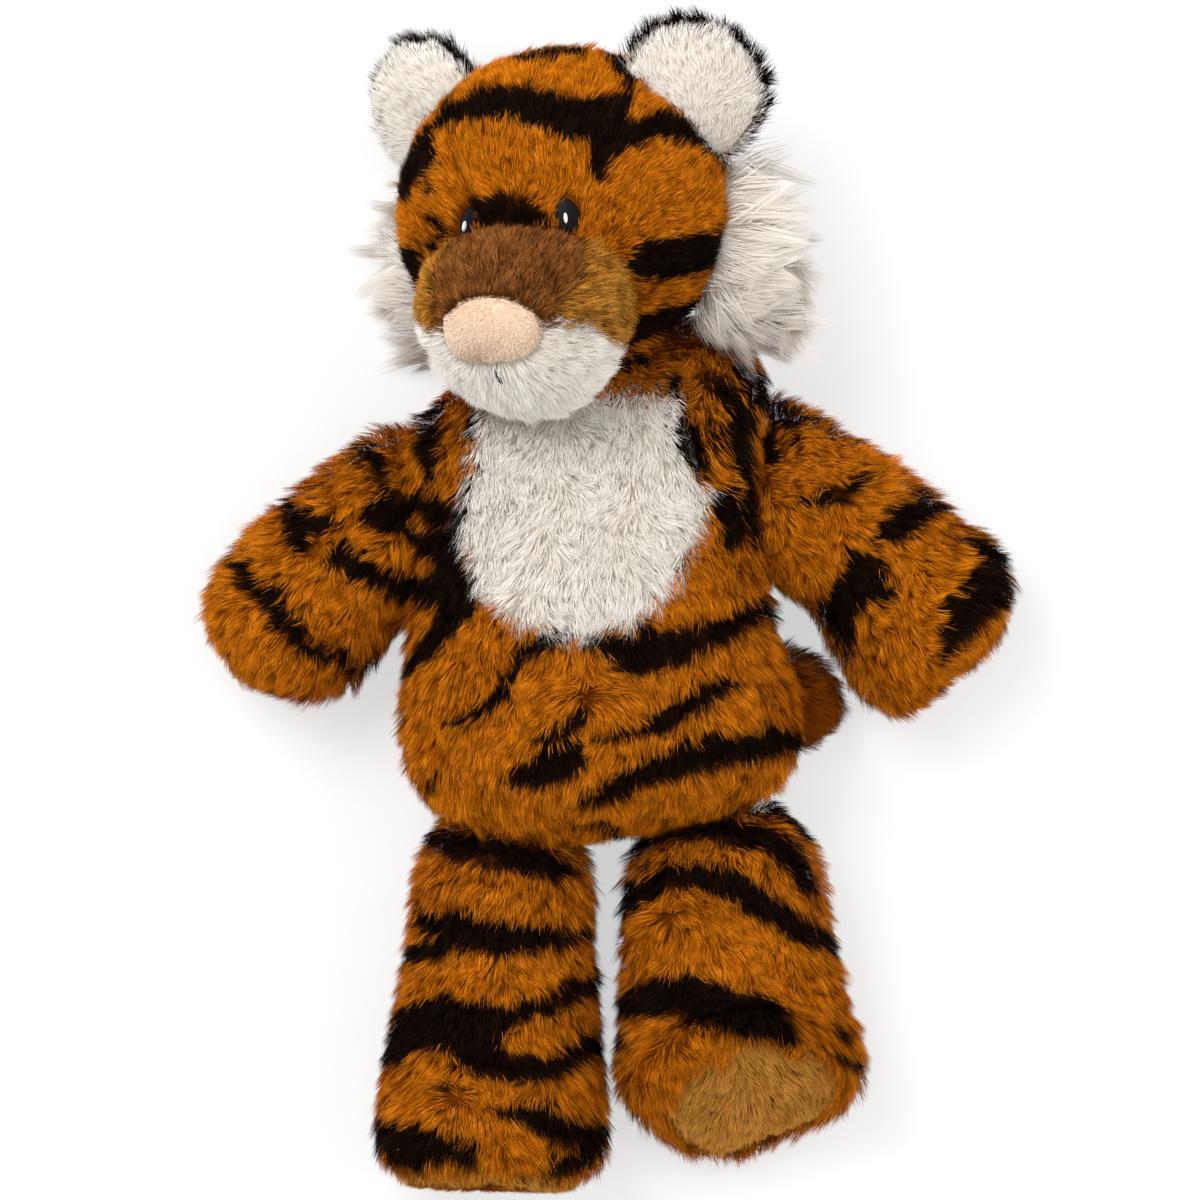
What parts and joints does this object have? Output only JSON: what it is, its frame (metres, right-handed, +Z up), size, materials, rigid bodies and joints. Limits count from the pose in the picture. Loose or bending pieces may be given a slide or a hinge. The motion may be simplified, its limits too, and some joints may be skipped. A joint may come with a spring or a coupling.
{
  "type": "plush tiger",
  "caption": "Floppy stuffed plush tiger with a turning, nodding head, swinging arms and legs, a stub tail and pellet-weighted seat and paws.",
  "frame": {"origin": "On the floor, on the flat face that the toy's back is pressed to, under the middle of the torso.", "axes": "+Y runs from the seat to the head, +X to the right of someone who looks down at the belly, +Z up from the back to the belly."},
  "size_m": [0.2184, 0.3228, 0.0961],
  "materials": {
    "orange_plush": "long soft pile with dark stripes",
    "white_plush": "long soft pile",
    "dark_plush": "long soft pile",
    "tan_plush": "short soft pile",
    "brown_plush": "short soft pile",
    "rust_plush": "soft pile",
    "sole_plush": "short velour pile",
    "nose_plush": "short velour pile",
    "embroidery": "satin-stitched thread",
    "white_thread": "satin-stitched thread",
    "fibre_fill": "loose polyester fibre",
    "pellet_cloth": "plain woven cloth"
  },
  "bodies": {
    "torso": {"torso_skin": "orange_plush", "chest_bib": "white_plush", "torso_stuffing": "fibre_fill", "seat_pellet_pouch": "pellet_cloth"},
    "neck": {"neck_stuffing": "fibre_fill"},
    "head": {"head_skin": "orange_plush", "head_stuffing": "fibre_fill", "muzzle_bridge": "brown_plush", "muzzle_left": "tan_plush", "muzzle_right": "tan_plush", "muzzle_chin": "white_plush", "muzzle_stuffing": "fibre_fill", "nose": "nose_plush", "mouth_stitch": "embroidery", "eye_left": "embroidery", "eye_right": "embroidery", "eye_glint_left": "white_thread", "eye_glint_right": "white_thread", "ear_left_front": "white_plush", "ear_left_back": "dark_plush", "ear_right_front": "white_plush", "ear_right_back": "dark_plush", "cheek_mane_left": "white_plush", "cheek_mane_right": "white_plush"},
    "arm_left": {"arm_left_skin": "orange_plush", "arm_left_stuffing": "fibre_fill", "arm_left_pellet_pouch": "pellet_cloth"},
    "arm_right": {"arm_right_skin": "orange_plush", "arm_right_stuffing": "fibre_fill", "arm_right_pellet_pouch": "pellet_cloth"},
    "leg_left": {"leg_left_skin": "orange_plush", "leg_left_stuffing": "fibre_fill", "leg_left_pellet_pouch": "pellet_cloth", "leg_left_sole": "sole_plush"},
    "leg_right": {"leg_right_skin": "orange_plush", "leg_right_stuffing": "fibre_fill", "leg_right_pellet_pouch": "pellet_cloth", "leg_right_sole": "sole_plush"},
    "tail": {"tail": "rust_plush"}
  },
  "joints": [
    {"name": "neck_turn", "type": "hinge", "parent": "torso", "child": "neck", "pos_m": [-0.0015, 0.0715, 0.03329], "axis": [0, 1, 0], "range_deg": [-20, 65]},
    {"name": "head_nod", "type": "hinge", "parent": "neck", "child": "head", "pos_m": [-0.0015, 0.0715, 0.03329], "axis": [0.9051, 0.0474, 0.4226], "range_deg": [-35, 3]},
    {"name": "arm_left_swing", "type": "hinge", "parent": "torso", "child": "arm_left", "pos_m": [-0.05827, 0.02493, 0.018], "axis": [-0.454, 0.891, 0], "range_deg": [-40, 50]},
    {"name": "arm_right_swing", "type": "hinge", "parent": "torso", "child": "arm_right", "pos_m": [0.05843, 0.03202, 0.018], "axis": [-0.454, -0.891, 0], "range_deg": [-40, 50]},
    {"name": "leg_left_swing", "type": "hinge", "parent": "torso", "child": "leg_left", "pos_m": [-0.02533, -0.07638, 0.0225], "axis": [-0.9986, 0.0523, 0], "range_deg": [-20, 80]},
    {"name": "leg_right_swing", "type": "hinge", "parent": "torso", "child": "leg_right", "pos_m": [0.03757, -0.07504, 0.0225], "axis": [-0.9962, -0.0872, 0], "range_deg": [-20, 80]},
    {"name": "tail_swing", "type": "hinge", "parent": "torso", "child": "tail", "pos_m": [0.0525, -0.02255, 0.0105], "axis": [0, 0, 1], "range_deg": [-25, 25]}
  ]
}
